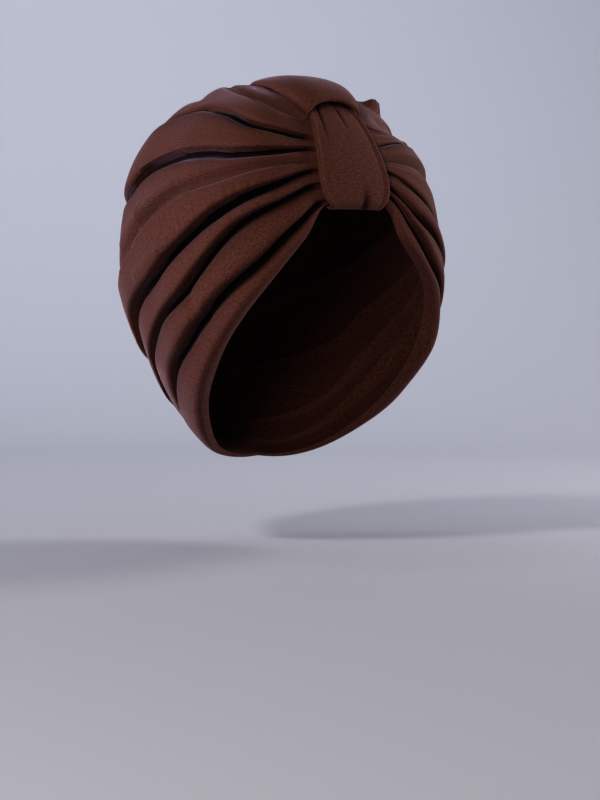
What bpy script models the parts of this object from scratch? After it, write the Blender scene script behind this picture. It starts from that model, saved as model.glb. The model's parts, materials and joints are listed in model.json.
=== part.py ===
import bpy
import numpy as np

# Sizes in metres

HALF_WIDTH = 0.076
FRONT_REACH = 0.090
BACK_REACH = 0.098
CROWN_RISE = 0.088
NAPE_DROP = 0.129
WALL = 0.0018
GAP = 0.0003
CLEARANCE = 0.0003
PLEAT_HEIGHT = 0.010
BAND_WALL = 0.0022
BAND_HALF_WIDTH = 0.0195
BAND_LOWEST = 0.018
BAND_TALL = 0.054
GATHER_LIFT = 0.0032
BAND_OUTER_RUN = 0.0084
BAND_INNER_RUN = 0.0014
BAND_BOW = 0.0012
BAND_RIPPLE = 0.0009
BAND_TURN_REACH = 0.115
LINE_OF_SIGHT = 0.1
FARTHEST = 0.3
BACK_START = 0.055
BACK_BLEND = 0.085

# Angles in degrees: the ends of the band's outer run, and where the stand-off of the gathers fades

BAND_HIGH = 77.0
BAND_LOW = 41.0
LIFT_FADE = (22.0, 46.0)
LIP_BOW = 2.5

# Roundness of the head form seen from above, above the brow and below it

PLAN_POWER = 2.6
FRONT_UPPER_POWER = 2.0
BACK_UPPER_POWER = 2.3
LOWER_POWER = 2.0

# Two poles on the form: one under the band, one at the nape. Fold lines run from the first to the
# back seam, and are placed by an angle from the front pole and a turn about the line of the poles.

FRONT_POLE_HEIGHT = 0.040
NAPE_POLE_HEIGHT = -0.118
START_ANGLE = 12.0
EDGE_STEP = 0.07
TURN_SHARES = (0.1, 0.2, 0.31, 0.42, 0.53, 0.64, 0.75, 0.87)
HEIGHT_STEPS = (0.0, 0.075, 0.13, 0.25, 0.45, 0.65, 0.84, 1.0)

LINE_COLUMNS = (
    "band_share", "reach", "turn_1", "turn_2", "turn_3", "turn_4", "turn_5", "turn_6", "turn_7",
    "turn_8", "raised_front", "raised_back", "raised_seam",
)

# A row per fold line from the crown to the hem: share of the band's height where it leaves the band,
# degrees along to the seam, degrees of turn at eight steps, and how far the valley is filled in front,
# behind and at the seam, as shares of the pleat height

RIGHT_LINES = {
    "tuck": (1.02, 44, 15, 15.5, 15, 14, 12.5, 11, 8, 5, 0.00, 0.00, 0.00),
    "crown edge": (0.98, 62, 19.5, 19, 18, 16, 13.5, 12, 9, 6, 0.00, 0.18, 0.10),
    "soft crown": (0.83, 75, 32, 33.5, 29, 24.5, 19, 14, 10, 5.5, 0.05, 0.44, 0.35),
    "crown": (0.66, 104, 55, 49.5, 37.5, 30, 27.5, 25, 19, 10, 0.00, 0.30, 0.45),
    "upper": (0.56, 118, 74.5, 68.5, 57, 48.5, 43, 39.5, 31, 19.5, 0.00, 0.32, 0.45),
    "soft upper": (0.43, 135, 83.5, 78, 69, 61.5, 56, 51, 44.5, 32, 0.45, 0.52, 0.45),
    "middle": (0.38, 150, 98, 91.5, 85.5, 79, 72.5, 64, 56, 50.5, 0.00, 0.05, 0.35),
    "lower": (0.26, 166, 109, 101, 98, 94, 85.5, 78, 70.5, 67, 0.00, 0.05, 0.25),
    "brow": (0.14, 176, 127.5, 121.5, 114, 109, 104, 96, 91.5, 89, 0.00, 0.00, 0.10),
    "hem": (0.065, 185, 135, 130, 125, 121.5, 119.5, 117.5, 117.5, 118.5, 0.00, 0.00, 0.00),
}

LEFT_LINES = {
    "tuck": (1.02, 44, 15, 15.5, 15, 14, 12.5, 11, 8, 5, 0.00, 0.00, 0.00),
    "crown edge": (0.98, 62, 21.5, 21, 20, 17.5, 15, 13, 10, 6, 0.00, 0.12, 0.10),
    "crown": (0.8, 95, 50, 52, 47, 38, 28, 20, 14, 8, 0.00, 0.30, 0.50),
    "upper": (0.6, 118, 61.5, 60, 54, 46, 38, 32, 26, 17, 0.00, 0.50, 0.50),
    "soft temple": (0.46, 130, 80, 76, 70, 63, 56, 49, 42, 30, 0.05, 0.45, 0.45),
    "middle": (0.38, 145, 103, 100.5, 92.5, 83, 74.5, 66.5, 58, 50, 0.00, 0.20, 0.35),
    "lower": (0.26, 165, 118, 108, 98.5, 92.5, 86.5, 79.5, 72.5, 68, 0.00, 0.10, 0.25),
    "brow": (0.14, 176, 126, 120.5, 110.5, 105, 99.5, 93.5, 90, 88, 0.00, 0.00, 0.10),
    "hem": (0.065, 185, 136.5, 126, 118.5, 118, 117.5, 117.5, 117, 118.5, 0.00, 0.00, 0.00),
}

FOLD_COLUMNS = (
    "under_band", "band_edge", "gathers", "front", "temple", "side", "behind", "seam",
)

# A row per pleat between two lines: height at each step, as a share of the pleat height

RIGHT_FOLDS = {
    "tuck": (0.00, 0.00, 0.00, 0.00, 0.00, 0.00, 0.00, 0.00),
    "top": (0.05, 0.06, 0.07, 0.09, 0.12, 0.14, 0.12, 0.05),
    "top lower": (0.06, 0.07, 0.20, 0.42, 0.40, 0.28, 0.15, 0.05),
    "upper": (0.06, 0.07, 0.28, 0.64, 0.70, 0.52, 0.30, 0.05),
    "temple": (0.07, 0.10, 0.34, 0.55, 0.55, 0.40, 0.20, 0.05),
    "side": (0.07, 0.10, 0.38, 0.66, 0.80, 0.76, 0.50, 0.05),
    "ear": (0.07, 0.10, 0.42, 0.66, 0.85, 0.78, 0.28, 0.05),
    "cheek": (0.07, 0.10, 0.42, 0.70, 0.90, 0.78, 0.15, 0.05),
    "hem": (0.07, 0.09, 0.28, 0.50, 0.66, 0.62, 0.35, 0.05),
}

LEFT_FOLDS = {
    "tuck": (0.00, 0.00, 0.00, 0.00, 0.00, 0.00, 0.00, 0.00),
    "top": (0.05, 0.08, 0.08, 0.08, 0.15, 0.30, 0.20, 0.05),
    "upper": (0.07, 0.08, 0.10, 0.10, 0.22, 0.35, 0.20, 0.05),
    "shoulder": (0.07, 0.10, 0.20, 0.32, 0.45, 0.40, 0.25, 0.05),
    "temple": (0.07, 0.10, 0.24, 0.30, 0.50, 0.60, 0.45, 0.05),
    "ear": (0.07, 0.10, 0.36, 0.64, 0.90, 0.75, 0.40, 0.05),
    "cheek": (0.07, 0.10, 0.40, 0.72, 0.92, 0.80, 0.35, 0.05),
    "hem": (0.07, 0.09, 0.30, 0.55, 0.95, 0.75, 0.40, 0.05),
}

MARK_COLUMNS = ("angle_1", "turn_1", "angle_2", "turn_2", "half_width", "height")

# A row per soft ridge or dent: where its two ends lie, then half its width and its height as shares of
# the pleat height

RIGHT_MARKS = (
    (55, 63, 75, 52, 0.35, 0.12),
    (75, 52, 93, 45, 0.35, 0.12),
    (50, 71, 79, 56, 0.3, 0.12),
    (79, 56, 98, 49, 0.3, 0.12),
    (44, 86, 72, 73, 0.25, 0.09),
    (72, 73, 92, 62, 0.25, 0.09),
    (57, 20, 66, 16, 0.5, -0.25),
    (74, 98, 78, 108, 0.4, -0.18),
    (38, 101, 50, 97, 0.3, -0.08),
)

LEFT_MARKS = (
    (32, 32, 36, 34, 0.3, 0.35),
    (25, 44, 36, 52, 0.65, -0.2),
    (32, 57, 36, 58, 0.25, 0.15),
    (34, 78, 40, 76, 0.4, -0.15),
)

PANEL_COLUMNS = ("angle", "half_turn", "rise", "edge")

# A row per cross section of the crown panel, from its lip to its tip

PANEL_SECTIONS = (
    (18.5, 27.0, 0.58, 0.18),
    (22.0, 24.0, 0.66, 0.16),
    (26.0, 21.5, 0.60, 0.15),
    (34.0, 17.5, 0.38, 0.21),
    (45.0, 11.5, 0.22, 0.30),
    (55.0, 5.6, 0.14, 0.30),
    (65.0, 1.2, 0.05, 0.28),
)

BAND_COLUMNS = ("angle", "half_width")

# A row per height of the band: degrees up from level at the middle of the poles, and the share of
# its half width

BAND_SECTIONS = (
    (37.0, 0.76),
    (41.0, 0.92),
    (46.0, 1.00),
    (53.0, 0.98),
    (60.0, 0.88),
    (68.0, 0.74),
    (74.0, 0.62),
    (79.0, 0.50),
)

# A row per point across a pleat: share of its width, then share of its height

PLEAT_SECTION = (
    (0.00, 0.00),
    (0.16, 0.80),
    (0.50, 1.00),
    (0.82, 0.90),
)

DRAPE_COLUMNS = 31
PANEL_ROWS = 21
PANEL_ACROSS = 15
BAND_RUN = 15
BAND_TURN = 7
BAND_ACROSS = 13


def form_level(points):
    x, y, z = points[..., 0], points[..., 1], points[..., 2]
    depth = np.where(y < 0, FRONT_REACH, BACK_REACH)
    plan = np.abs(x / HALF_WIDTH) ** PLAN_POWER + np.abs(y / depth) ** PLAN_POWER
    back_share = np.clip((y + BACK_START) / BACK_BLEND, 0, 1)
    power = FRONT_UPPER_POWER + (BACK_UPPER_POWER - FRONT_UPPER_POWER) * back_share
    above = plan ** (power / PLAN_POWER) + np.abs(z / CROWN_RISE) ** power
    below = plan ** (LOWER_POWER / PLAN_POWER) + np.abs(z / NAPE_DROP) ** LOWER_POWER
    return np.where(z > 0, above, below)


def middle_point(height, side):
    """Point of the form on the middle plane at a height, side -1 for the front and 1 for the back."""
    near, far = 0.0, FARTHEST
    for _ in range(40):
        reach = (near + far) / 2
        inside = form_level(np.array([0.0, side * reach, height])) < 1
        near, far = (reach, far) if inside else (near, reach)
    return np.array([0.0, side * far, height])


FRONT_POLE = middle_point(FRONT_POLE_HEIGHT, -1)
NAPE_POLE = middle_point(NAPE_POLE_HEIGHT, 1)
CENTRE = (FRONT_POLE + NAPE_POLE) / 2
POLE_AXIS = (FRONT_POLE - NAPE_POLE) / np.linalg.norm(FRONT_POLE - NAPE_POLE)
POLE_UP = np.array([0.0, POLE_AXIS[2], -POLE_AXIS[1]])


def onto_form(points):
    """Slide points along rays from the centre until they lie on the head form."""
    rays = points - CENTRE
    rays = rays / np.linalg.norm(rays, axis=-1, keepdims=True)
    near = np.zeros(rays.shape[:-1])
    far = np.full(rays.shape[:-1], FARTHEST)
    for _ in range(40):
        middle = (near + far) / 2
        inside = form_level(CENTRE + rays * middle[..., None]) < 1
        near = np.where(inside, middle, near)
        far = np.where(inside, far, middle)
    return CENTRE + rays * far[..., None]


def form_normals(points):
    step = 1e-5
    slopes = []
    for axis in range(3):
        shift = np.zeros(3)
        shift[axis] = step
        slopes.append(form_level(points + shift) - form_level(points - shift))
    normals = np.stack(slopes, axis=-1)
    return normals / np.linalg.norm(normals, axis=-1, keepdims=True)


def polar_point(angle, turn):
    """Ray targets for angles from the front pole and turns about the pole line, in degrees."""
    angle, turn = np.broadcast_arrays(np.radians(angle), np.radians(turn))
    along = np.cos(angle)[..., None] * POLE_AXIS
    rise = (np.sin(angle) * np.cos(turn))[..., None] * POLE_UP
    sideways = (np.sin(angle) * np.sin(turn))[..., None] * np.array([1.0, 0, 0])
    return CENTRE + LINE_OF_SIGHT * (along + rise + sideways)


def front_angle(points):
    rays = points - CENTRE
    return np.degrees(np.arccos(rays @ POLE_AXIS / np.linalg.norm(rays, axis=-1)))


def spline(knots, values, at):
    """Smooth curve through values at the knots, read at the given places."""
    knots, values, at = np.asarray(knots), np.asarray(values, float), np.asarray(at)
    slopes = np.zeros_like(values)
    spans = np.diff(knots)
    shape = (-1,) + (1,) * (values.ndim - 1)
    secants = np.diff(values, axis=0) / spans.reshape(shape)
    before, after = spans[:-1].reshape(shape), spans[1:].reshape(shape)
    slopes[1:-1] = (secants[:-1] * after + secants[1:] * before) / (before + after)
    slopes[0], slopes[-1] = secants[0], secants[-1]
    index = np.clip(np.searchsorted(knots, at, side="right") - 1, 0, len(knots) - 2)
    span = spans[index].reshape(shape)
    t = ((at - knots[index]) / spans[index]).reshape(shape)
    low, high = values[index], values[index + 1]
    rise_low, rise_high = slopes[index] * span, slopes[index + 1] * span
    return ((2 * t ** 3 - 3 * t ** 2 + 1) * low + (t ** 3 - 2 * t ** 2 + t) * rise_low
            + (3 * t ** 2 - 2 * t ** 3) * high + (t ** 3 - t ** 2) * rise_high)


def gather_lift(angle):
    """The gathered ends stand off the brow to leave room for the inner run of the band."""
    fade = np.clip((angle - LIFT_FADE[0]) / (LIFT_FADE[1] - LIFT_FADE[0]), 0, 1)
    return CLEARANCE + (GATHER_LIFT - CLEARANCE) * (1 - fade * fade * (3 - 2 * fade))


def line_controls(row, side):
    """Points of one fold line, from under the middle of the band to the back seam."""
    share, reach = row[:2]
    start = middle_point(BAND_LOWEST + share * BAND_TALL, -1)
    edge = np.array([side * band_half_width(start) * 1.04, start[1], start[2]])
    points = [start, edge]
    for along, turn in zip(TURN_SHARES, row[2:10]):
        points.append(polar_point(START_ANGLE + (reach - START_ANGLE) * along, side * turn))
    points.append(polar_point(float(reach), 0.0))
    points = onto_form(np.array(points))
    points[0, 0] = side * 2 * GAP
    points[-1, 0] = side * GAP / 2
    return points


def band_half_width(point):
    ray = point - CENTRE
    angle = np.degrees(np.arctan2(ray[2], -ray[1]))
    angles = [row[0] for row in BAND_SECTIONS]
    shares = [row[1] for row in BAND_SECTIONS]
    return BAND_HALF_WIDTH * np.interp(angle, angles, shares)


def across_samples(count):
    """Places across a drape: the tuck strip once, then each pleat at the points of its section."""
    places = [0.0]
    for pleat in range(1, count):
        places += [pleat + share for share, _ in PLEAT_SECTION]
    return np.array(places + [float(count)])


def mark_heights(base, marks, side):
    """Heights of the soft ridges and dents, each fading away from the line between its two ends."""
    total = np.zeros(base.shape[:-1])
    for angle_1, turn_1, angle_2, turn_2, half_width, height in marks:
        turns = side * np.array([turn_1, turn_2])
        ends = onto_form(polar_point(np.array([angle_1, angle_2]), turns))
        run = ends[1] - ends[0]
        share = np.clip((base - ends[0]) @ run / (run @ run), 0, 1)
        away = np.linalg.norm(base - ends[0] - share[..., None] * run, axis=-1)
        total += height * np.exp(-(away / (half_width * PLEAT_HEIGHT)) ** 2)
    return PLEAT_HEIGHT * total


def drape_surfaces(lines, folds, marks, side):
    """Inner and outer points of a drape, as grids from the crown to the hem and front to back."""
    knots = [0.0, EDGE_STEP] + [EDGE_STEP + (1 - EDGE_STEP) * share for share in TURN_SHARES] + [1.0]
    along = np.linspace(0, 1, DRAPE_COLUMNS)
    tracks = np.array([spline(knots, line_controls(row, side), along) for row in lines.values()])
    raised = np.array([row[10:] for row in lines.values()])
    filled = np.array([
        spline(HEIGHT_STEPS, (0, 0.1 * front, 0.4 * front, front, front, back, back, seam), along)
        for front, back, seam in raised
    ])
    heights = np.array([np.maximum(spline(HEIGHT_STEPS, row, along), 0) for row in folds.values()])
    places = across_samples(len(heights))
    pleat = np.minimum(places.astype(int), len(heights) - 1)
    place = (places - pleat)[:, None]
    base = onto_form(tracks[pleat] * (1 - place[..., None]) + tracks[pleat + 1] * place[..., None])
    base[:, 0, 0] = side * 2 * GAP
    base[:, -1, 0] = side * GAP / 2
    normals = form_normals(base)
    normals[:, [0, -1], 0] = 0
    fill = np.maximum(filled[pleat] * (1 - place) + filled[pleat + 1] * place, 0)
    shares, section = np.array(PLEAT_SECTION + ((1.0, 0.0),)).T
    hump = heights[pleat] * np.interp(place, shares, section)
    offset = gather_lift(front_angle(base)) + PLEAT_HEIGHT * (fill + hump)
    clear = (along > EDGE_STEP) * 1.0
    offset = np.maximum(offset + clear * mark_heights(base, marks, side), CLEARANCE)[..., None]
    return base + normals * offset, base + normals * (offset + WALL)


def panel_surfaces():
    rows = np.array(PANEL_SECTIONS)
    along = np.linspace(0, 1, PANEL_ROWS)
    table = spline(np.linspace(0, 1, len(rows)), rows, along)
    across = np.linspace(-1, 1, PANEL_ACROSS)
    angle, half_turn, rise, edge = (table[:, i][:, None] for i in range(4))
    bow = LIP_BOW * np.clip(1 - along * 3, 0, 1)[:, None]
    angles = angle + bow * (0.6 - across ** 2)
    base = onto_form(polar_point(angles, half_turn * across))
    normals = form_normals(base)
    dome = np.clip(1 - np.abs(across) ** 2.6, 0, 1) ** 0.5
    hump = PLEAT_HEIGHT * (rise * dome + edge)
    offset = (gather_lift(front_angle(base)) + WALL + GAP + hump)[..., None]
    return base + normals * offset, base + normals * (offset + WALL)


def band_surfaces():
    """Inside and outside of the band, as grids round the loop and across its width."""
    high, low = BAND_HIGH, BAND_LOW
    centre = (BAND_OUTER_RUN + BAND_INNER_RUN) / 2
    radius = (BAND_OUTER_RUN - BAND_INNER_RUN) / 2
    arc = BAND_TURN_REACH * np.pi / 180
    path = [(angle, 0.0, BAND_OUTER_RUN) for angle in np.linspace(low, high, BAND_RUN)]
    for turn in np.linspace(0, np.pi, BAND_TURN)[1:-1]:
        path.append((high, np.sin(turn), centre + radius * np.cos(turn)))
    path += [(angle, 0.0, BAND_INNER_RUN) for angle in np.linspace(high, low, BAND_RUN)]
    for turn in np.linspace(np.pi, 2 * np.pi, BAND_TURN)[1:-1]:
        path.append((low, np.sin(turn), centre + radius * np.cos(turn)))
    across = np.linspace(-1, 1, BAND_ACROSS)
    inside, outside = [], []
    for angle, swing, offset in path:
        grids = []
        for half in (-BAND_WALL / 2, BAND_WALL / 2):
            outward = (offset - centre) / radius
            reach = angle + (radius + half) * swing / arc
            level = centre + (radius + half) * outward
            ray = np.array([0.0, -np.cos(np.radians(reach)), np.sin(np.radians(reach))])
            base = onto_form((CENTRE + LINE_OF_SIGHT * ray)[None])[0]
            width = band_half_width(base)
            points = np.repeat(base[None], len(across), axis=0)
            points[:, 0] = across * width
            points = onto_form(points)
            points[:, 0] = across * width
            share = np.clip((level - BAND_INNER_RUN) / (2 * radius), 0, 1)
            crease = np.clip((reach - 62) / 14, 0, 1) * share
            ripple = -BAND_RIPPLE * crease * np.cos(across * np.pi * 3.2) ** 2 * (1 - across ** 2)
            bowed = level - BAND_BOW * share * across ** 2 + ripple
            grids.append(points + form_normals(points) * bowed[:, None])
        inside.append(grids[0])
        outside.append(grids[1])
    return np.array(inside), np.array(outside)


def grid_faces(rows, columns, first, flip, closed):
    faces = []
    for r in range(rows if closed else rows - 1):
        for c in range(columns - 1):
            low = first + r * columns + c
            high = first + ((r + 1) % rows) * columns + c
            face = (low, low + 1, high + 1, high)
            faces.append(face[::-1] if flip else face)
    return faces


def shell_mesh(name, inner, outer, closed_rows, mirrored):
    """Closed wall between two grids of points."""
    rows, columns = inner.shape[:2]
    count = rows * columns
    points = np.concatenate([inner.reshape(-1, 3), outer.reshape(-1, 3)])
    points = points - np.array([0, 0, CROWN_RISE])
    faces = grid_faces(rows, columns, 0, not mirrored, closed_rows)
    faces += grid_faces(rows, columns, count, mirrored, closed_rows)
    rims = []
    for r in range(rows if closed_rows else rows - 1):
        after = ((r + 1) % rows) * columns
        rims.append((after, r * columns))
        rims.append((r * columns + columns - 1, after + columns - 1))
    if not closed_rows:
        for c in range(columns - 1):
            rims.append((c, c + 1))
            rims.append(((rows - 1) * columns + c + 1, (rows - 1) * columns + c))
    for start, end in rims:
        face = (start, end, end + count, start + count)
        faces.append(face[::-1] if mirrored else face)
    mesh = bpy.data.meshes.new(name)
    mesh.from_pydata([tuple(p) for p in points], [], faces)
    mesh.validate()
    mesh.update()
    return mesh


def cloth_material(name, colour):
    material = bpy.data.materials.new(name)
    material.use_nodes = True
    shader = material.node_tree.nodes["Principled BSDF"]
    shader.inputs["Base Color"].default_value = colour
    shader.inputs["Roughness"].default_value = 0.85
    shader.inputs["Sheen Weight"].default_value = 0.3
    return material


def add_piece(name, surfaces, closed_rows, mirrored, colour, collection):
    inner, outer = surfaces
    mesh = shell_mesh(name, inner, outer, closed_rows, mirrored)
    piece = bpy.data.objects.new(name, mesh)
    mesh.materials.append(cloth_material(name + "_jersey", colour))
    collection.objects.link(piece)
    return piece


def main():
    for thing in list(bpy.data.objects):
        bpy.data.objects.remove(thing)
    collection = bpy.data.collections.new("turban_headwrap")
    bpy.context.scene.collection.children.link(collection)
    brown = (0.085, 0.036, 0.026, 1)
    deep = (0.075, 0.032, 0.024, 1)
    right = drape_surfaces(RIGHT_LINES, RIGHT_FOLDS, RIGHT_MARKS, -1)
    left = drape_surfaces(LEFT_LINES, LEFT_FOLDS, LEFT_MARKS, 1)
    add_piece("right_drape", right, False, False, brown, collection)
    add_piece("left_drape", left, False, True, brown, collection)
    add_piece("crown_panel", panel_surfaces(), False, False, deep, collection)
    add_piece("front_band", band_surfaces(), True, False, deep, collection)


main()
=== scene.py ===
import json
import math

import bpy
import numpy as np
from mathutils import Matrix, Vector

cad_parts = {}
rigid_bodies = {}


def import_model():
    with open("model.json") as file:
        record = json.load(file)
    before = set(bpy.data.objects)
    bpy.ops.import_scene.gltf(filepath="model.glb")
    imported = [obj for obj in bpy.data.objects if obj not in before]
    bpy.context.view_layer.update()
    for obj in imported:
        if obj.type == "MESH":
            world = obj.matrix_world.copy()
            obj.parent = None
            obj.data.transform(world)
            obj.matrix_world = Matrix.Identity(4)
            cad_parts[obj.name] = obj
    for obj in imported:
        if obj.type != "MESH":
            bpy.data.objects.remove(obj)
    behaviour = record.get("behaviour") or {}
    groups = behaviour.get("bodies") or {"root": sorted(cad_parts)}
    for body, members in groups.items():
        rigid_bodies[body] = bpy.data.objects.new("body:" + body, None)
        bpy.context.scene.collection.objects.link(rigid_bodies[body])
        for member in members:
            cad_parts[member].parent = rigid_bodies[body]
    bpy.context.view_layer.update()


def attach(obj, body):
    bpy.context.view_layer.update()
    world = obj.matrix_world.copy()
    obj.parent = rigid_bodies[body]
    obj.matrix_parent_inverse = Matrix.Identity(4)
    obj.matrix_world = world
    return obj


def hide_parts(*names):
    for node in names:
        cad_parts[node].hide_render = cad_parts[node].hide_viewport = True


# Sizes in metres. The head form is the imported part's, and the fold lines follow its lines closely

HALF_WIDTH = 0.076
FRONT_REACH = 0.090
BACK_REACH = 0.098
CROWN_RISE = 0.088
NAPE_DROP = 0.129
WALL = 0.0015
GAP = 0.0003
SEAM_GAP = 0.00001
CLEARANCE = 0.0003
PLEAT_HEIGHT = 0.010
BAND_WALL = 0.0020
BAND_HALF_WIDTH = 0.0195
BAND_LOWEST = 0.018
BAND_TALL = 0.054
GATHER_LIFT = 0.0032
FRONT_POLE_HEIGHT = 0.040
NAPE_POLE_HEIGHT = -0.118
BACK_START = 0.055
BACK_BLEND = 0.085
LINE_OF_SIGHT = 0.1
FARTHEST = 0.3
FARTHEST_MIDDLE = 0.2
SLOPE_STEP = 1e-5
LEAST_WIDTH = 1e-5
GATHER_RIPPLE = 0.00012
# Pleat height at which the painted shade in the drapes' creases is full
FULL_SHADE_PLEAT_HEIGHT = 0.0014
LIP_STAND_OFF = 0.0018
LIP_CURL = 0.0006
BAND_OUTER_RUN = 0.0078
BAND_INNER_RUN = 0.0014
BAND_CENTRE_RUN = (BAND_OUTER_RUN + BAND_INNER_RUN) / 2
BAND_TURN_RADIUS = (BAND_OUTER_RUN - BAND_INNER_RUN) / 2
BAND_TURN_REACH = 0.115
BAND_PUFF = 0.0012
BAND_SINK = 0.0008
# Crease depth at which the painted shade in the band's creases is full
FULL_SHADE_BAND_CREASE = 0.0012

# Height, place from the edge and half width of the band's bead, and of the groove at the wearer's left

BEAD = (0.0006, 0.0010, 0.0009)
GROOVE = (0.0006, 0.0030, 0.0008)

# Powers of the rounded head form

PLAN_POWER = 2.6
FRONT_UPPER_POWER = 2.0
BACK_UPPER_POWER = 2.3
LOWER_POWER = 2.0

# Angles in degrees

START_ANGLE = 12.0
LIFT_FADE = (22.0, 46.0)
LIP_BOW = 1.0
BAND_HIGH = 77.5
BAND_LOW = 41.2
LIP_SHADE = (68.0, 75.0)
SHARP_EDGE = 70

# Share of a fold line's run where it leaves the band, and shares of the rest where its turns lie

EDGE_KNOT = 0.07
TURN_SHARES = (0.1, 0.2, 0.31, 0.42, 0.53, 0.64, 0.75, 0.87)

# A row per fold line from the crown to the hem: share of the band's height where it leaves the band,
# degrees along to the seam, degrees of turn at eight steps, how far the valley stays filled in front,
# behind and at the seam, width of its floor in millimetres, how soft it is and how far it runs in under
# the pleat above, in millimetres

RIGHT_LINES = {
    "tuck": (1.02, 44, 15, 15.5, 15, 14, 12.5, 11, 8, 5, 0.00, 0.00, 0.00, 0.0, 1.0, 0.0),
    "crown edge": (0.98, 62, 19.5, 19, 18, 16, 13.5, 12, 9, 6, 0.00, 0.18, 0.10, 0.5, 0.5, 0.0),
    "soft crown": (0.83, 75, 32, 33.5, 29, 24.5, 19, 14, 10, 5.5, 0.05, 0.44, 0.35, 0.5, 0.9, 0.0),
    "crown": (0.66, 104, 55, 49.5, 37.5, 30, 27.5, 25, 19, 10, 0.00, 0.30, 0.45, 3.6, 0.0, 2.0),
    "upper": (0.56, 118, 74.5, 68.5, 57, 48.5, 43, 39.5, 31, 19.5, 0.00, 0.32, 0.45, 4.6, 0.0, 3.2),
    "soft upper": (0.43, 135, 83.5, 78, 69, 61.5, 56, 51, 44.5, 32, 0.45, 0.52, 0.45, 0.5, 1.0, 0.0),
    "middle": (0.35, 150, 98, 91.5, 85.5, 79, 72.5, 64, 56, 50.5, 0.00, 0.05, 0.35, 4.6, 0.0, 4.0),
    "lower": (0.20, 166, 109, 101, 98, 94, 85.5, 78, 70.5, 67, 0.00, 0.05, 0.25, 3.8, 0.0, 3.2),
    "brow": (0.03, 176, 127.5, 121.5, 114, 109, 104, 96, 91.5, 89, 0.00, 0.00, 0.10, 3.2, 0.0, 3.4),
    "hem": (-0.02, 185, 135, 130, 125, 121.5, 119.5, 117.5, 117.5, 118.5, 0.00, 0.00, 0.00, 0.0, 0.0, 0.0),
}

LEFT_LINES = {
    "tuck": (1.02, 44, 15, 15.5, 15, 14, 12.5, 11, 8, 5, 0.00, 0.00, 0.00, 0.0, 1.0, 0.0),
    "crown edge": (0.98, 62, 21.5, 21, 20, 17.5, 15, 13, 10, 6, 0.00, 0.12, 0.10, 0.5, 0.5, 0.0),
    "crown": (0.80, 95, 50, 52, 47, 38, 28, 20, 14, 8, 0.00, 0.30, 0.50, 0.8, 0.3, 0.0),
    "upper": (0.60, 118, 61.5, 60, 54, 46, 38, 32, 26, 17, 0.00, 0.50, 0.50, 0.8, 0.0, 0.8),
    "soft temple": (0.46, 130, 80, 76, 70, 63, 56, 49, 42, 30, 0.05, 0.45, 0.45, 0.5, 0.8, 0.0),
    "middle": (0.35, 145, 103, 100.5, 92.5, 83, 74.5, 66.5, 58, 50, 0.00, 0.20, 0.35, 1.8, 0.0, 2.0),
    "lower": (0.19, 165, 118, 108, 98.5, 92.5, 86.5, 79.5, 72.5, 68, 0.00, 0.10, 0.25, 2.4, 0.0, 3.0),
    "brow": (0.11, 176, 126, 120.5, 110.5, 105, 99.5, 93.5, 90, 88, 0.00, 0.00, 0.10, 2.4, 0.0, 3.0),
    "hem": (-0.02, 185, 136.5, 126, 118.5, 118, 117.5, 117.5, 117, 118.5, 0.00, 0.00, 0.00, 0.0, 0.0, 0.0),
}

# A row per pleat: height at the eight height steps as a share of the pleat height, then how far its
# upper and lower edges are rounded, in millimetres

HEIGHT_STEPS = (0.0, 0.075, 0.13, 0.25, 0.45, 0.65, 0.84, 1.0)

RIGHT_FOLDS = {
    "tuck": (0.00, 0.00, 0.00, 0.00, 0.00, 0.00, 0.00, 0.00, 4.0, 4.0),
    "top": (0.05, 0.06, 0.07, 0.09, 0.12, 0.14, 0.12, 0.05, 5.0, 6.0),
    "top lower": (0.06, 0.07, 0.20, 0.42, 0.40, 0.28, 0.15, 0.05, 6.0, 2.6),
    "upper": (0.06, 0.07, 0.28, 0.64, 0.70, 0.52, 0.30, 0.05, 4.0, 2.6),
    "temple": (0.07, 0.10, 0.34, 0.55, 0.55, 0.40, 0.20, 0.05, 3.5, 6.0),
    "side": (0.07, 0.10, 0.38, 0.66, 0.80, 0.76, 0.50, 0.05, 6.0, 2.6),
    "ear": (0.07, 0.10, 0.42, 0.66, 0.82, 0.72, 0.24, 0.05, 3.0, 3.0),
    "cheek": (0.07, 0.10, 0.42, 0.70, 0.90, 0.78, 0.15, 0.05, 2.5, 5.0),
    "hem": (0.07, 0.09, 0.28, 0.50, 0.66, 0.62, 0.35, 0.05, 2.2, 5.0),
}

LEFT_FOLDS = {
    "tuck": (0.00, 0.00, 0.00, 0.00, 0.00, 0.00, 0.00, 0.00, 4.0, 4.0),
    "top": (0.05, 0.08, 0.08, 0.08, 0.15, 0.30, 0.20, 0.05, 5.0, 6.0),
    "upper": (0.07, 0.08, 0.10, 0.10, 0.22, 0.35, 0.20, 0.05, 5.0, 4.0),
    "shoulder": (0.07, 0.10, 0.20, 0.32, 0.45, 0.40, 0.25, 0.05, 2.5, 6.0),
    "temple": (0.07, 0.10, 0.24, 0.30, 0.50, 0.60, 0.45, 0.05, 5.0, 3.0),
    "ear": (0.07, 0.10, 0.36, 0.64, 0.90, 0.75, 0.40, 0.05, 3.0, 3.0),
    "cheek": (0.07, 0.10, 0.40, 0.72, 0.92, 0.80, 0.35, 0.05, 2.5, 3.0),
    "hem": (0.07, 0.09, 0.30, 0.55, 0.95, 0.75, 0.40, 0.05, 2.2, 4.0),
}

# A row per soft ridge or dent: angle and turn of its two ends, half width and height in millimetres

RIGHT_MARKS = (
    (55, 63, 75, 52, 3.5, 1.2),
    (75, 52, 93, 45, 3.5, 1.2),
    (50, 71, 79, 56, 3.0, 1.2),
    (79, 56, 98, 49, 3.0, 1.2),
    (44, 86, 72, 73, 2.5, 0.9),
    (72, 73, 92, 62, 2.5, 0.9),
    (57, 20, 66, 16, 5.0, -2.5),
    (74, 98, 78, 108, 4.0, -1.8),
    (38, 101, 50, 97, 3.0, -0.8),
)

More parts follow.
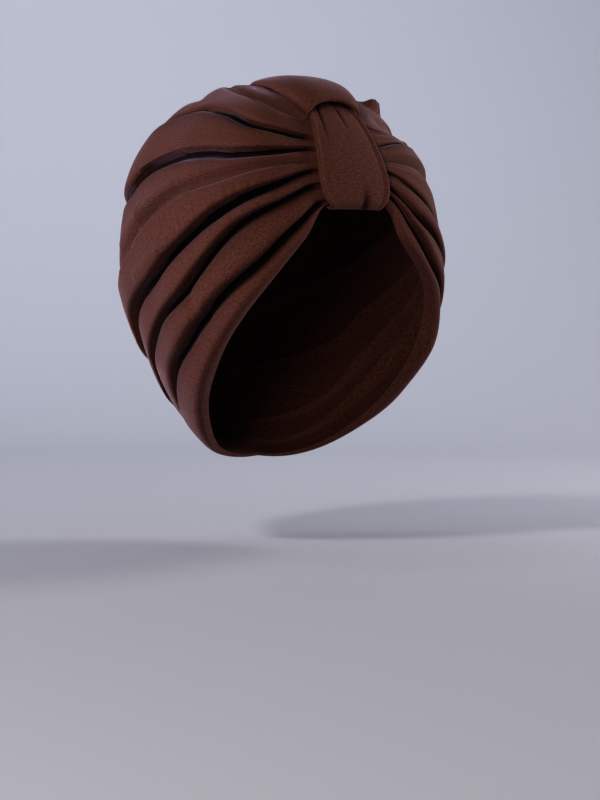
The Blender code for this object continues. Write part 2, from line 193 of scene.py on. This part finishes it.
LEFT_MARKS = (
    (32, 32, 36, 34, 3.6, 6.2),
    (25, 44, 36, 52, 6.5, -2.8),
    (32, 57, 36, 58, 2.5, 1.5),
    (34, 78, 40, 76, 4.0, -1.5),
)

# A row per cross section of the crown panel: degrees from the front pole, half its turn, height of
# the middle, height of the edges

PANEL_SECTIONS = (
    (18.0, 26.0, 0.55, 0.16),
    (22.0, 24.0, 0.60, 0.11),
    (26.0, 21.5, 0.56, 0.08),
    (34.0, 17.5, 0.36, 0.15),
    (45.0, 11.5, 0.24, 0.22),
    (55.0, 5.6, 0.15, 0.24),
    (65.0, 1.2, 0.05, 0.24),
)

# A row per height of the band: degrees up from level, share of its half width

BAND_SECTIONS = (
    (36.0, 0.40),
    (38.5, 0.68),
    (41.0, 0.88),
    (44.0, 0.99),
    (48.0, 1.02),
    (53.0, 0.98),
    (60.0, 0.88),
    (68.0, 0.74),
    (74.0, 0.62),
    (79.0, 0.50),
)

# A row per crease of the band: share across, degrees up from level at both ends, half width and
# depth in millimetres

BAND_CREASES = (
    (-0.62, 70.0, 56.0, 0.8, 1.5),
    (0.15, 70.0, 60.0, 0.8, 1.1),
    (0.24, 36.0, 47.0, 2.0, 3.0),
)

# Mesh rows of a pleat and columns of a drape, and how far they crowd at its edges and at the band

SAMPLES = 22
SAMPLE_CROWDING = 0.75
DRAPE_COLUMNS = 230
COLUMN_CROWDING = 1.15

# The most that a valley floor, a rounded edge or an undercut takes of the width of its pleat

FLOOR_SHARE = 0.15
TOP_ROUND_SHARE = 0.32
BOTTOM_ROUND_SHARE = 0.52
UNDERCUT_SHARE = 0.22

# How full a pleat is at its top, where across it is full, and the share of its reach an undercut sinks

TOP_FULLNESS = 0.80
FULL_FROM = 0.8
UNDERCUT_SINK = 0.4

# A row per slow swell along a pleat: share of its height and waves in the run

SWELLS = ((0.08, 1.7), (0.05, 4.3))
SWELL_START = 0.2

# Fewest and most waves of the fine gathers in a pleat, where along it they are full, and their fade

GATHER_WAVES = (2.0, 4.5)
GATHER_FULL = 0.08
GATHER_FADE = 0.3


def form_level(points):
    x, y, z = points[..., 0], points[..., 1], points[..., 2]
    depth = np.where(y < 0, FRONT_REACH, BACK_REACH)
    plan = np.abs(x / HALF_WIDTH) ** PLAN_POWER + np.abs(y / depth) ** PLAN_POWER
    back_share = np.clip((y + BACK_START) / BACK_BLEND, 0, 1)
    power = FRONT_UPPER_POWER + (BACK_UPPER_POWER - FRONT_UPPER_POWER) * back_share
    above = plan ** (power / PLAN_POWER) + np.abs(z / CROWN_RISE) ** power
    below = plan ** (LOWER_POWER / PLAN_POWER) + np.abs(z / NAPE_DROP) ** LOWER_POWER
    return np.where(z > 0, above, below)


def middle_point(height, side):
    near, far = 0.0, FARTHEST_MIDDLE
    for _ in range(40):
        reach = (near + far) / 2
        inside = form_level(np.array([0.0, side * reach, height])) < 1
        near, far = (reach, far) if inside else (near, reach)
    return np.array([0.0, side * far, height])


FRONT_POLE = middle_point(FRONT_POLE_HEIGHT, -1)
NAPE_POLE = middle_point(NAPE_POLE_HEIGHT, 1)
CENTRE = (FRONT_POLE + NAPE_POLE) / 2
POLE_AXIS = (FRONT_POLE - NAPE_POLE) / np.linalg.norm(FRONT_POLE - NAPE_POLE)
POLE_UP = np.array([0.0, POLE_AXIS[2], -POLE_AXIS[1]])


def onto_form(points):
    rays = points - CENTRE
    rays = rays / np.linalg.norm(rays, axis=-1, keepdims=True)
    near = np.zeros(rays.shape[:-1])
    far = np.full(rays.shape[:-1], FARTHEST)
    for _ in range(36):
        middle = (near + far) / 2
        inside = form_level(CENTRE + rays * middle[..., None]) < 1
        near = np.where(inside, middle, near)
        far = np.where(inside, far, middle)
    return CENTRE + rays * far[..., None]


def form_normals(points):
    slopes = []
    for axis in range(3):
        shift = np.zeros(3)
        shift[axis] = SLOPE_STEP
        slopes.append(form_level(points + shift) - form_level(points - shift))
    normals = np.stack(slopes, axis=-1)
    return normals / np.linalg.norm(normals, axis=-1, keepdims=True)


def polar_points(angle, turn):
    angle, turn = np.broadcast_arrays(np.radians(angle), np.radians(turn))
    along = np.cos(angle)[..., None] * POLE_AXIS
    rise = (np.sin(angle) * np.cos(turn))[..., None] * POLE_UP
    sideways = (np.sin(angle) * np.sin(turn))[..., None] * np.array([1.0, 0, 0])
    return CENTRE + LINE_OF_SIGHT * (along + rise + sideways)


def front_angle(points):
    rays = points - CENTRE
    return np.degrees(np.arccos(np.clip(rays @ POLE_AXIS / np.linalg.norm(rays, axis=-1), -1, 1)))


def spline(knots, values, at):
    knots, values, at = np.asarray(knots, float), np.asarray(values, float), np.asarray(at, float)
    spans = np.diff(knots)
    shape = (-1,) + (1,) * (values.ndim - 1)
    secants = np.diff(values, axis=0) / spans.reshape(shape)
    before, after = spans[:-1].reshape(shape), spans[1:].reshape(shape)
    slopes = np.zeros_like(values)
    slopes[1:-1] = (secants[:-1] * after + secants[1:] * before) / (before + after)
    slopes[0], slopes[-1] = secants[0], secants[-1]
    index = np.clip(np.searchsorted(knots, at, side="right") - 1, 0, len(knots) - 2)
    span = spans[index].reshape(shape)
    t = ((at - knots[index]) / spans[index]).reshape(shape)
    low, high = values[index], values[index + 1]
    rise_low, rise_high = slopes[index] * span, slopes[index + 1] * span
    return ((2 * t ** 3 - 3 * t ** 2 + 1) * low + (t ** 3 - 2 * t ** 2 + t) * rise_low
            + (3 * t ** 2 - 2 * t ** 3) * high + (t ** 3 - t ** 2) * rise_high)


def ease(x):
    x = np.clip(x, 0, 1)
    return x * x * (3 - 2 * x)


def gather_lift(angle):
    fade = ease((angle - LIFT_FADE[0]) / (LIFT_FADE[1] - LIFT_FADE[0]))
    return CLEARANCE + (GATHER_LIFT - CLEARANCE) * (1 - fade)


def band_half_width(points):
    rays = points - CENTRE
    angle = np.degrees(np.arctan2(rays[..., 2], -rays[..., 1]))
    angles = [row[0] for row in BAND_SECTIONS]
    shares = [row[1] for row in BAND_SECTIONS]
    return BAND_HALF_WIDTH * np.interp(angle, angles, shares)


def line_controls(row, side):
    share, reach = row[:2]
    turns = row[2:10]
    start = middle_point(BAND_LOWEST + max(share, 0.065) * BAND_TALL, -1)
    edge = middle_point(BAND_LOWEST + max(share, 0.02) * BAND_TALL, -1)
    edge[0] = side * band_half_width(edge) * 1.04
    points = [start, edge]
    for along, turn in zip(TURN_SHARES, turns):
        points.append(polar_points(START_ANGLE + (reach - START_ANGLE) * along, side * turn))
    points.append(polar_points(float(reach), 0.0))
    points = onto_form(np.array(points))
    points[0, 0] = side * 2 * GAP
    points[-1, 0] = side * SEAM_GAP
    return points


def rounded(distance, reach, soft):
    share = np.clip(distance / reach, 0, 1)
    crisp = np.sqrt(1 - (1 - share) ** 2)
    return crisp * (1 - soft) + ease(share) * soft


def mark_heights(base, marks, side):
    total = np.zeros(base.shape[:-1])
    for angle_1, turn_1, angle_2, turn_2, width, height in marks:
        ends = onto_form(polar_points(np.array([angle_1, angle_2]), side * np.array([turn_1, turn_2])))
        run = ends[1] - ends[0]
        share = np.clip((base - ends[0]) @ run / (run @ run), 0, 1)
        away = np.linalg.norm(base - ends[0] - share[..., None] * run, axis=-1)
        total += height / 1000 * np.exp(-(away / (width / 1000)) ** 2)
    return total


def drape_grid(lines, folds, marks, side, seed):
    """Outer surface of a drape: rows from the crown to the hem, columns from the band to the seam, with
    its normals and the painted shade of its creases.
    """
    rng = np.random.default_rng(seed)
    knots = [0.0, EDGE_KNOT] + [EDGE_KNOT + (1 - EDGE_KNOT) * share for share in TURN_SHARES] + [1.0]
    along = np.linspace(0, 1, DRAPE_COLUMNS) ** COLUMN_CROWDING
    tracks = np.array([spline(knots, line_controls(row, side), along) for row in lines.values()])
    raised = np.array([row[10:13] for row in lines.values()])
    floors = np.array([row[13] for row in lines.values()]) / 1000
    softness = np.array([row[14] for row in lines.values()])
    undercuts = np.array([row[15] for row in lines.values()]) / 1000
    heights = np.array([np.maximum(spline(HEIGHT_STEPS, row[:8], along), 0) for row in folds.values()])
    upper_round = np.array([row[8] for row in folds.values()]) / 1000
    lower_round = np.array([row[9] for row in folds.values()]) / 1000
    count = len(heights)
    spacing = np.linspace(0, 1, SAMPLES, endpoint=False)
    crowded = 0.5 - 0.5 * np.cos(np.pi * spacing)
    spacing = (1 - SAMPLE_CROWDING) * spacing + SAMPLE_CROWDING * crowded
    inner_places = [pleat + spacing for pleat in range(1, count)]
    places = np.concatenate([[0.0, 0.5]] + inner_places + [[float(count)]])
    pleat = np.minimum(places.astype(int), count - 1)
    place = (places - pleat)[:, None]
    low, high = tracks[pleat], tracks[pleat + 1]
    widths = np.maximum(np.linalg.norm(high - low, axis=-1), LEAST_WIDTH)
    floor_top = np.minimum(floors[pleat][:, None] / 2, FLOOR_SHARE * widths)
    floor_bottom = np.minimum(floors[pleat + 1][:, None] / 2, FLOOR_SHARE * widths)
    round_top = np.minimum(upper_round[pleat][:, None], TOP_ROUND_SHARE * widths)
    round_bottom = np.minimum(lower_round[pleat][:, None], BOTTOM_ROUND_SHARE * widths)
    rise = rounded(place * widths - floor_top, round_top, softness[pleat][:, None])
    fall = rounded((1 - place) * widths - floor_bottom, round_bottom, softness[pleat + 1][:, None])
    away = ease((along - 0.05) / 0.06)
    tucked = np.where(place < 0.5, undercuts[pleat][:, None], undercuts[pleat + 1][:, None])
    tucked = np.minimum(tucked, UNDERCUT_SHARE * widths) * away * (1 - ease((along - 0.8) / 0.2))
    shifted = place - tucked * (1 - rise * fall) ** 2 / widths
    base = onto_form(low * (1 - shifted[..., None]) + high * shifted[..., None])
    normals = form_normals(base)
    normals[:, 0, 0] = 0
    normals[:, -1, 0] = 0
    hump = rise * fall * (TOP_FULLNESS + (1 - TOP_FULLNESS) * ease(place / FULL_FROM))
    sunk = tucked * UNDERCUT_SINK * (1 - rise * fall) ** 2
    filled = np.array([
        spline(HEIGHT_STEPS, (0, 0.1 * f, 0.4 * f, f, f, b, b, s), along) for f, b, s in raised
    ])
    fill = np.maximum(filled[pleat] * (1 - place) + filled[pleat + 1] * place, 0)
    swell = np.ones((count, len(along)))
    for k in range(1, count):
        phases = rng.uniform(0, 2 * np.pi, len(SWELLS))
        for (share, waves), phase in zip(SWELLS, phases):
            swell[k] += share * np.sin(2 * np.pi * waves * along + phase) * ease(along / SWELL_START)
    gathers = np.zeros(base.shape[:-1])
    for waves, phase in zip(rng.uniform(*GATHER_WAVES, 3), rng.uniform(0, 2 * np.pi, 3)):
        gathers += np.sin(2 * np.pi * waves * places[:, None] + phase)
    fade = 1 - ease((along - GATHER_FULL) / GATHER_FADE)
    gathers *= GATHER_RIPPLE * ease(along / GATHER_FULL) * fade
    raised_by = PLEAT_HEIGHT * (fill + hump * heights[pleat] * swell[pleat])
    offset = gather_lift(front_angle(base)) + WALL + raised_by
    offset = offset - sunk + away * (mark_heights(base, marks, side) + gathers)
    near = np.where(place < 0.5, softness[pleat][:, None], softness[pleat + 1][:, None])
    depth = np.clip(PLEAT_HEIGHT * heights[pleat] / FULL_SHADE_PLEAT_HEIGHT, 0, 1)
    # Painted shade from how deep a spot lies in a crease, from 0 to 1, with a painted shadow cast by the
    # pleat above over each pleat's upper half: less behind, 0 at the tuck and the hem's lower half
    painted_shade = np.clip(1 - rise * fall, 0, 1) ** 1.3
    under = 0.5 * (1 - ease(place / 0.5))
    painted_shade = (painted_shade + (1 - painted_shade) * under) * depth * (1 - 0.8 * np.clip(near, 0, 1))
    painted_shade *= 1 - 0.75 * ease((along - 0.55) / 0.3)
    painted_shade *= (places[:, None] > 1.02) * (places[:, None] < count - 0.5)
    return base + normals * offset[..., None], normals, painted_shade


def panel_grid():
    rows = np.array(PANEL_SECTIONS)
    along = np.linspace(0, 1, 110)
    table = spline(np.linspace(0, 1, len(rows)), rows, along)
    across = np.sin(np.linspace(-1, 1, 90) * np.pi / 2)
    angle, half_turn, rise, edge = (table[:, i][:, None] for i in range(4))
    bow = LIP_BOW * np.clip(1 - along * 3, 0, 1)[:, None]
    angles = angle + bow * (0.6 - across ** 2)
    base = onto_form(polar_points(angles, half_turn * across))
    normals = form_normals(base)
    dome = np.clip(1 - np.abs(across) ** 2.6, 0, 1) ** 0.5
    hump = PLEAT_HEIGHT * (rise * dome + edge)
    offset = gather_lift(front_angle(base)) + LIP_STAND_OFF + GAP + hump + WALL
    curl = 1 - ease(along / 0.05)[:, None]
    offset = offset - LIP_CURL * curl ** 2
    return base + normals * offset[..., None], normals


def band_path():
    """Angle, swing past the end and stand-off of each row of the band's loop."""
    centre, radius = BAND_CENTRE_RUN, BAND_TURN_RADIUS
    path = [(angle, 0.0, BAND_OUTER_RUN) for angle in np.linspace(BAND_LOW, BAND_HIGH, 130)]
    for turn in np.linspace(0, np.pi, 24)[1:-1]:
        path.append((BAND_HIGH, np.sin(turn), centre + radius * np.cos(turn)))
    path += [(angle, 0.0, BAND_INNER_RUN) for angle in np.linspace(BAND_HIGH, BAND_LOW, 40)]
    for turn in np.linspace(np.pi, 2 * np.pi, 30)[1:-1]:
        path.append((BAND_LOW, np.sin(turn), centre + radius * np.cos(turn)))
    return path


def band_relief(across, width, reach):
    """Creases of one row of the band, and its whole relief with the bead, groove and puff."""
    folds = np.zeros(len(across))
    for middle, start, end, crease_width, depth in BAND_CREASES:
        far = ease((reach - min(start, end)) / abs(start - end))
        fade = far if start > end else 1 - far
        nearness = np.exp(-((across - middle) * width / (crease_width / 1000)) ** 2)
        folds -= depth / 1000 * fade * nearness
    inward = (1 - np.abs(across)) * width
    bead = BEAD[0] * np.exp(-((inward - BEAD[1]) / BEAD[2]) ** 2)
    groove = -GROOVE[0] * np.exp(-((inward - GROOVE[1]) / GROOVE[2]) ** 2) * (across > 0)
    puff = BAND_PUFF * (1 - across ** 2)
    return folds, folds + bead + groove + puff - BAND_SINK


def band_grid():
    """Inner and outer surface of the band's wall, as closed rings of rows, and its painted shade in the
    creases and under the lip.
    """
    centre, radius = BAND_CENTRE_RUN, BAND_TURN_RADIUS
    arc = BAND_TURN_REACH * np.pi / 180
    across = np.sin(np.linspace(-1, 1, 120) * np.pi / 2)
    inside, outside, band_painted_shade = [], [], []
    for angle, swing, offset in band_path():
        for half, grid in ((-BAND_WALL / 2, inside), (BAND_WALL / 2, outside)):
            outward = (offset - centre) / radius
            reach = angle + (radius + half) * swing / arc
            level = centre + (radius + half) * outward
            ray = np.array([0.0, -np.cos(np.radians(reach)), np.sin(np.radians(reach))])
            base = onto_form((CENTRE + LINE_OF_SIGHT * ray)[None])[0]
            width = band_half_width(base)
            points = np.repeat(base[None], len(across), axis=0)
            points[:, 0] = across * width
            points = onto_form(points)
            points[:, 0] = across * width
            share = np.clip((level - BAND_INNER_RUN) / (BAND_OUTER_RUN - BAND_INNER_RUN), 0, 1)
            folds, relief = band_relief(across, width, reach)
            # Painted shadow under the crown panel's lip at the top of the band, and painted shade in the
            # band's creases, kept for the outer surface
            lip_shadow = ease((reach - LIP_SHADE[0]) / (LIP_SHADE[1] - LIP_SHADE[0])) * share
            band_crease_shade = np.clip(-folds / FULL_SHADE_BAND_CREASE, 0, 1) * 0.7
            if half > 0:
                band_painted_shade.append(np.maximum(band_crease_shade, 0.95 * lip_shadow))
            grid.append(points + form_normals(points) * (level + share * relief)[:, None])
    return np.array(inside), np.array(outside), np.array(band_painted_shade)


def run_lengths(grid, axis):
    steps = np.linalg.norm(np.diff(grid, axis=axis), axis=-1)
    steps = steps.mean(axis=1 - axis)
    return np.concatenate([[0], np.cumsum(steps)])


def shell(name, inner, outer, painted_shade, closed, mirrored):
    """Closed wall of cloth between two grids, with its cloth lengths as texture coordinates."""
    rows, columns = inner.shape[:2]
    count = rows * columns
    points = np.concatenate([inner.reshape(-1, 3), outer.reshape(-1, 3)]) - np.array([0, 0, CROWN_RISE])
    r = np.arange(rows if closed else rows - 1)[:, None]
    c = np.arange(columns - 1)[None, :]
    low = r * columns + c
    high = ((r + 1) % rows) * columns + c
    quads = np.stack([low, low + 1, high + 1, high], axis=-1).reshape(-1, 4)
    faces = [quads[:, ::-1], quads + count] if not mirrored else [quads, quads[:, ::-1] + count]
    rims = []
    ring = np.arange(rows if closed else rows - 1)
    after = ((ring + 1) % rows) * columns
    rims.append(np.stack([after, ring * columns], axis=-1))
    rims.append(np.stack([ring * columns + columns - 1, after + columns - 1], axis=-1))
    if not closed:
        c = np.arange(columns - 1)
        rims.append(np.stack([c, c + 1], axis=-1))
        rims.append(np.stack([(rows - 1) * columns + c + 1, (rows - 1) * columns + c], axis=-1))
    edges = np.concatenate(rims)
    walls = np.stack([edges[:, 0], edges[:, 1], edges[:, 1] + count, edges[:, 0] + count], axis=-1)
    faces.append(walls[:, ::-1] if mirrored else walls)
    faces = np.concatenate(faces)
    mesh = bpy.data.meshes.new(name)
    mesh.from_pydata(points.tolist(), [], faces.tolist())
    across = run_lengths(outer, 0)[:, None] * np.ones((1, columns))
    along = run_lengths(outer, 1)[None, :] * np.ones((rows, 1))
    places = np.stack([along, across], axis=-1).reshape(-1, 2)
    places = np.concatenate([places, places])
    layer = mesh.uv_layers.new(name="cloth")
    index = np.zeros(len(mesh.loops), np.int32)
    mesh.loops.foreach_get("vertex_index", index)
    layer.data.foreach_set("uv", places[index].astype(np.float32).ravel())
    # Painted shade of the creases, per point: none on the inner surface
    shade = mesh.attributes.new("painted_shade_amount", "FLOAT", "POINT")
    depths = np.concatenate([np.zeros(painted_shade.size), painted_shade.ravel()])
    shade.data.foreach_set("value", depths.astype(np.float32))
    mesh.shade_smooth()
    mesh.set_sharp_from_angle(angle=math.radians(SHARP_EDGE))
    mesh.update()
    piece = bpy.data.objects.new(name, mesh)
    bpy.context.scene.collection.objects.link(piece)
    return piece


def jersey():
    material = bpy.data.materials.new("jersey")
    material.use_nodes = True
    nodes, links = material.node_tree.nodes, material.node_tree.links
    shader = nodes["Principled BSDF"]
    shader.inputs["Roughness"].default_value = 0.9
    shader.inputs["Specular IOR Level"].default_value = 0.15
    shader.inputs["Sheen Weight"].default_value = 0.30
    shader.inputs["Sheen Roughness"].default_value = 0.30
    shader.inputs["Sheen Tint"].default_value = (0.60, 0.50, 0.64, 1)
    uv = nodes.new("ShaderNodeUVMap")
    uv.uv_map = "cloth"
    mapping = nodes.new("ShaderNodeMapping")
    mapping.inputs["Scale"].default_value = (1000, 1000, 1000)
    links.new(uv.outputs["UV"], mapping.inputs["Vector"])
    rib = nodes.new("ShaderNodeTexWave")
    rib.bands_direction = "X"
    rib.inputs["Scale"].default_value = 0.33
    rib.inputs["Distortion"].default_value = 1.2
    rib.inputs["Detail"].default_value = 2
    rib.inputs["Detail Scale"].default_value = 1.5
    links.new(mapping.outputs["Vector"], rib.inputs["Vector"])
    fleck = nodes.new("ShaderNodeTexNoise")
    fleck.inputs["Scale"].default_value = 1.5
    fleck.inputs["Detail"].default_value = 2
    fleck.inputs["Roughness"].default_value = 0.65
    links.new(mapping.outputs["Vector"], fleck.inputs["Vector"])
    stretch = nodes.new("ShaderNodeMapping")
    stretch.inputs["Scale"].default_value = (380, 1100, 1000)
    links.new(uv.outputs["UV"], stretch.inputs["Vector"])
    yarn = nodes.new("ShaderNodeTexNoise")
    yarn.inputs["Scale"].default_value = 1.1
    yarn.inputs["Detail"].default_value = 2
    links.new(stretch.outputs["Vector"], yarn.inputs["Vector"])
    blend = nodes.new("ShaderNodeMix")
    blend.inputs["Factor"].default_value = 0.35
    links.new(fleck.outputs["Fac"], blend.inputs["A"])
    links.new(yarn.outputs["Fac"], blend.inputs["B"])
    ramp = nodes.new("ShaderNodeValToRGB")
    ramp.color_ramp.elements[0].position = 0.38
    ramp.color_ramp.elements[0].color = (0.046, 0.0175, 0.0120, 1)
    ramp.color_ramp.elements[1].position = 0.64
    ramp.color_ramp.elements[1].color = (0.130, 0.0540, 0.0395, 1)
    links.new(blend.outputs["Result"], ramp.inputs["Fac"])
    # Painted shade: the base colour is mixed toward near black where the painted shade attribute is high
    depth = nodes.new("ShaderNodeAttribute")
    depth.attribute_name = "painted_shade_amount"
    painted_shade_mix = nodes.new("ShaderNodeMix")
    painted_shade_mix.data_type = "RGBA"
    painted_shade_mix.inputs["B"].default_value = (0.004, 0.001, 0.001, 1)
    links.new(depth.outputs["Fac"], painted_shade_mix.inputs["Factor"])
    links.new(ramp.outputs["Color"], painted_shade_mix.inputs["A"])
    links.new(painted_shade_mix.outputs["Result"], shader.inputs["Base Color"])
    bump = nodes.new("ShaderNodeBump")
    bump.inputs["Strength"].default_value = 0.35
    bump.inputs["Distance"].default_value = 0.0002
    links.new(rib.outputs["Fac"], bump.inputs["Height"])
    links.new(bump.outputs["Normal"], shader.inputs["Normal"])
    return material


def plain(name, colour, roughness):
    material = bpy.data.materials.new(name)
    material.use_nodes = True
    shader = material.node_tree.nodes["Principled BSDF"]
    shader.inputs["Base Color"].default_value = colour
    shader.inputs["Roughness"].default_value = roughness
    return material


# The camera looks from the wearer's right, a touch below the middle of the head

AZIMUTH, ELEVATION, DISTANCE = -26.0, -1.5, 1.4
METRES_PER_PIXEL = 0.00058
HEAD_PIXEL = (282.0, 245.0)
PICTURE = (600, 800)
SENSOR_HEIGHT = 32


def set_camera():
    azimuth, elevation = math.radians(AZIMUTH), math.radians(ELEVATION)
    pixels = DISTANCE / METRES_PER_PIXEL
    middle = Vector((0, 0, -CROWN_RISE))
    back = Vector((math.sin(azimuth) * math.cos(elevation), -math.cos(azimuth) * math.cos(elevation),
                   math.sin(elevation)))
    place = middle + back * DISTANCE
    ahead = -back
    right = ahead.cross(Vector((0, 0, 1))).normalized()
    up = right.cross(ahead)
    across, down = HEAD_PIXEL[0] - PICTURE[0] / 2, HEAD_PIXEL[1] - PICTURE[1] / 2
    ahead = ahead - right * across / pixels + up * down / pixels
    ahead.normalize()
    right = ahead.cross(Vector((0, 0, 1))).normalized()
    up = right.cross(ahead)
    data = bpy.data.cameras.new("camera")
    data.sensor_fit = "VERTICAL"
    data.sensor_height = SENSOR_HEIGHT
    data.lens = pixels / PICTURE[1] * SENSOR_HEIGHT
    camera = bpy.data.objects.new("camera", data)
    camera.matrix_world = Matrix((
        (right.x, up.x, -ahead.x, place.x),
        (right.y, up.y, -ahead.y, place.y),
        (right.z, up.z, -ahead.z, place.z),
        (0, 0, 0, 1),
    ))
    bpy.context.scene.collection.objects.link(camera)
    bpy.context.scene.camera = camera


# A row per light: degrees round from the camera and up, reach, size, power and colour

LIGHTS = (
    ("key", -36.0, 37.0, 1.7, 0.25, 11.5, (1.00, 0.92, 0.85)),
    ("front", -18.0, 3.0, 1.5, 0.50, 6.6, (1.00, 0.93, 0.87)),
    ("left", -94.0, 1.0, 1.4, 0.30, 13.5, (0.86, 0.80, 1.00)),
    ("right", 94.0, 4.0, 1.4, 0.50, 13.0, (0.94, 0.90, 1.00)),
    ("right_back", 122.0, 35.0, 1.4, 0.50, 7.0, (1.00, 0.92, 0.86)),
)
AIM = (0, 0, -0.09)

# The light that washes the backdrop: place, aim, size, power, colour and spread in degrees

WASH = ((-0.5, 0.9, 1.9), (0.9, 1.9, 0.1), 1.2, 11, (0.95, 0.97, 1.0), 112.0)

# The floor runs level from in front of the wrap, curves up behind it and ends in a wall

FLOOR_LEVEL = -0.262
FLOOR_START = -3.0
CURVE_START = 0.9
CURVE_RADIUS = 0.8
WALL_TOP = 3.0
FLOOR_HALF_WIDTH = 4.0


def add_light(name, place, aim, size, power, colour, spread=180.0):
    data = bpy.data.lights.new(name, "AREA")
    data.shape = "DISK"
    data.size = size
    data.energy = power
    data.color = colour
    data.spread = math.radians(spread)
    light = bpy.data.objects.new(name, data)
    light.location = place
    light.rotation_euler = (Vector(aim) - Vector(place)).to_track_quat("-Z", "Y").to_euler()
    bpy.context.scene.collection.objects.link(light)


def around(turn, rise, reach):
    """Place at a reach from the head, turned from the camera's side and raised, in degrees."""
    turn, rise = math.radians(AZIMUTH + turn), math.radians(rise)
    level = reach * math.cos(rise)
    return (level * math.sin(turn), -level * math.cos(turn), reach * math.sin(rise) - CROWN_RISE)


def add_studio():
    bpy.context.scene.view_settings.view_transform = "Standard"
    bpy.context.scene.view_settings.look = "High Contrast"
    world = bpy.data.worlds.new("studio")
    world.use_nodes = True
    world.node_tree.nodes["Background"].inputs["Color"].default_value = (0.70, 0.76, 0.86, 1)
    world.node_tree.nodes["Background"].inputs["Strength"].default_value = 0.06
    bpy.context.scene.world = world
    for name, turn, rise, reach, size, power, colour in LIGHTS:
        add_light(name, around(turn, rise, reach), AIM, size, power, colour)
    add_light("wash", *WASH)
    add_floor()


def add_floor():
    back = Vector((-math.sin(math.radians(AZIMUTH)), math.cos(math.radians(AZIMUTH)), 0))
    side = Vector((back.y, -back.x, 0))
    profile = [(FLOOR_START, 0.0)]
    for bend in np.linspace(0, math.pi / 2, 24):
        profile.append((CURVE_START + CURVE_RADIUS * math.sin(bend),
                        CURVE_RADIUS - CURVE_RADIUS * math.cos(bend)))
    profile.append((CURVE_START + CURVE_RADIUS, WALL_TOP))
    points, faces = [], []
    for reach, rise in profile:
        for half in (-FLOOR_HALF_WIDTH, FLOOR_HALF_WIDTH):
            spot = back * reach + side * half
            points.append((spot.x, spot.y, FLOOR_LEVEL + rise))
    for i in range(len(profile) - 1):
        faces.append((2 * i, 2 * i + 1, 2 * i + 3, 2 * i + 2))
    mesh = bpy.data.meshes.new("floor")
    mesh.from_pydata(points, [], faces)
    mesh.shade_smooth()
    floor = bpy.data.objects.new("floor", mesh)
    mesh.materials.append(plain("pale_floor", (0.37, 0.39, 0.435, 1), 0.9))
    bpy.context.scene.collection.objects.link(floor)


def main():
    for thing in list(bpy.data.objects):
        bpy.data.objects.remove(thing)
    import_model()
    cloth = jersey()
    pieces = []
    for name, lines, folds, marks, side, seed in (
        ("right_drape", RIGHT_LINES, RIGHT_FOLDS, RIGHT_MARKS, -1, 5),
        ("left_drape", LEFT_LINES, LEFT_FOLDS, LEFT_MARKS, 1, 8),
    ):
        outer, normals, painted_shade = drape_grid(lines, folds, marks, side, seed)
        inner = outer - normals * WALL
        pieces.append((name, shell(name + "_cloth", inner, outer, painted_shade, False, side > 0)))
    outer, normals = panel_grid()
    inner = outer - normals * WALL
    # The crown panel gets no painted shade
    no_painted_shade = np.zeros(outer.shape[:2])
    pieces.append(("crown_panel", shell("crown_panel_cloth", inner, outer, no_painted_shade, False, False)))
    inside, outside, painted_shade = band_grid()
    pieces.append(("front_band", shell("front_band_cloth", inside, outside, painted_shade, True, False)))
    for node, piece in pieces:
        piece.data.materials.append(cloth)
        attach(piece, "root")
        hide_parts(node)
    set_camera()
    add_studio()


main()
